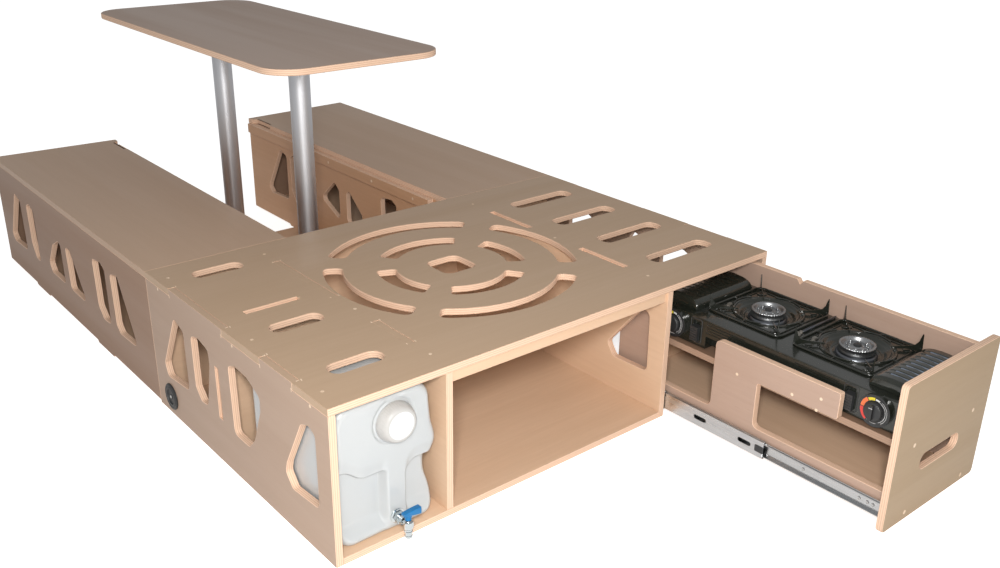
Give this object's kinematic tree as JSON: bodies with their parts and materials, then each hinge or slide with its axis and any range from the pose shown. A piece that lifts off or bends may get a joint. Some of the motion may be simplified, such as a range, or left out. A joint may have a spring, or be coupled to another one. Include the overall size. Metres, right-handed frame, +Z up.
{
  "type": "camping box",
  "caption": "Plywood camping set for a small van: main box with water canister and pull-out stove drawer, two storage benches and a lift-off table.",
  "frame": {"origin": "on the floor under the middle of the main box, on the underside of its floor board", "axes": "+X runs along the box's open front from the canister to the drawer, +Y runs back into the van over the benches, +Z is up"},
  "size_m": [1.1943, 2.4516, 0.735],
  "materials": {
    "birch_ply": "clear lacquered birch plywood, striped at its cut edges",
    "film_ply": "satin lacquered birch plywood, a darker face film",
    "aluminium": "satin anodised",
    "zinc": "bright zinc plated",
    "black_enamel": "gloss black enamel",
    "black_plastic": "satin black",
    "chrome": "polished",
    "cloudy_plastic": "cloudy white blow-moulded plastic",
    "white_plastic": "satin white",
    "blue_plastic": "gloss blue"
  },
  "bodies": {
    "box": {"box_base": "birch_ply", "box_left_side": "birch_ply", "box_right_side": "birch_ply", "box_back": "birch_ply", "box_top": "film_ply", "box_divider": "birch_ply", "box_partition": "birch_ply", "box_front_rail": "birch_ply", "box_tank_wall": "birch_ply", "side_inlet": "black_plastic", "left_bench_outer_side": "birch_ply", "left_bench_inner_side": "birch_ply", "left_bench_near_end": "birch_ply", "left_bench_far_end": "birch_ply", "left_bench_floor": "birch_ply", "left_bench_ledge": "birch_ply", "right_bench_outer_side": "birch_ply", "right_bench_inner_side": "birch_ply", "right_bench_near_end": "birch_ply", "right_bench_far_end": "birch_ply", "right_bench_floor": "birch_ply", "right_bench_ledge": "birch_ply", "floor_plate": "birch_ply", "floor_socket_front": "aluminium", "floor_socket_rear": "aluminium", "table_leg_front": "aluminium", "table_leg_rear": "aluminium", "slide_cabinet_left": "zinc", "slide_cabinet_right": "zinc"},
    "slide_middles": {"slide_middle_left": "zinc", "slide_middle_right": "zinc"},
    "drawer": {"drawer_front": "film_ply", "drawer_left_side": "birch_ply", "drawer_right_side": "birch_ply", "drawer_back": "birch_ply", "drawer_floor": "birch_ply", "stove_shelf": "birch_ply", "slide_drawer_left": "zinc", "slide_drawer_right": "zinc", "stove_body": "black_enamel", "burner_near": "aluminium", "burner_far": "aluminium"},
    "knob_near": {"gas_knob_near": "black_plastic"},
    "knob_far": {"gas_knob_far": "black_plastic"},
    "latch_near": {"cartridge_latch_near": "black_plastic"},
    "latch_far": {"cartridge_latch_far": "black_plastic"},
    "cover_near": {"cartridge_cover_near": "black_enamel"},
    "cover_far": {"cartridge_cover_far": "black_enamel"},
    "support_near": {"pan_support_near": "black_enamel"},
    "support_far": {"pan_support_far": "black_enamel"},
    "canister": {"water_canister": "cloudy_plastic", "tap_body": "chrome"},
    "cap": {"canister_cap": "white_plastic"},
    "lever": {"tap_lever": "blue_plastic"},
    "left_lid": {"left_bench_lid": "film_ply"},
    "right_lid": {"right_bench_lid": "film_ply"},
    "table": {"table_top": "film_ply", "table_socket_front": "aluminium", "table_socket_rear": "aluminium"}
  },
  "joints": [
    {"name": "middle_travel", "type": "slide", "parent": "box", "child": "slide_middles", "axis": [0, -1, 0], "range_m": [-0.273, 0]},
    {"name": "drawer_travel", "type": "slide", "parent": "slide_middles", "child": "drawer", "axis": [0, -1, 0], "range_m": [-0.273, 0]},
    {"name": "knob_near_turn", "type": "hinge", "parent": "drawer", "child": "knob_near", "pos_m": [0.2964, -0.8648, 0.2203], "axis": [1, 0, 0], "range_deg": [0, 150]},
    {"name": "latch_near_slide", "type": "slide", "parent": "drawer", "child": "latch_near", "axis": [0, 0, 1], "range_m": [0, 0.012]},
    {"name": "cover_near_hinge", "type": "hinge", "parent": "drawer", "child": "cover_near", "pos_m": [0.5247, -0.8748, 0.2526], "axis": [0, 1, 0], "range_deg": [0, 80]},
    {"name": "support_near_lift", "type": "slide", "parent": "drawer", "child": "support_near", "axis": [0, 0, 1], "range_m": [0, 0.06]},
    {"name": "knob_far_turn", "type": "hinge", "parent": "drawer", "child": "knob_far", "pos_m": [0.2964, -0.3648, 0.2203], "axis": [1, 0, 0], "range_deg": [0, 150]},
    {"name": "latch_far_slide", "type": "slide", "parent": "drawer", "child": "latch_far", "axis": [0, 0, 1], "range_m": [0, 0.012]},
    {"name": "cover_far_hinge", "type": "hinge", "parent": "drawer", "child": "cover_far", "pos_m": [0.5247, -0.3548, 0.2526], "axis": [0, 1, 0], "range_deg": [0, 8]},
    {"name": "support_far_lift", "type": "slide", "parent": "drawer", "child": "support_far", "axis": [0, 0, 1], "range_m": [0, 0.06]},
    {"name": "canister_pull", "type": "slide", "parent": "box", "child": "canister", "axis": [0, -1, 0], "range_m": [0, 0.3]},
    {"name": "cap_turn", "type": "hinge", "parent": "canister", "child": "cap", "pos_m": [-0.455, -0.3705, 0.2473], "axis": [0, -1, 0], "range_deg": [0, 360]},
    {"name": "lever_turn", "type": "hinge", "parent": "canister", "child": "lever", "pos_m": [-0.455, -0.4065, 0.0556], "axis": [0, 0, -1], "range_deg": [0, 90]},
    {"name": "left_lid_lift", "type": "slide", "parent": "box", "child": "left_lid", "axis": [0, 0, 1], "range_m": [0, 0.3]},
    {"name": "right_lid_lift", "type": "slide", "parent": "box", "child": "right_lid", "axis": [0, 0, 1], "range_m": [0, 0.3]},
    {"name": "table_lift", "type": "slide", "parent": "box", "child": "table", "axis": [0, 0, 1], "range_m": [0, 0.12]}
  ],
  "couplings": [
    {"joint": "drawer_travel", "follows": "middle_travel", "ratio": 1}
  ]
}
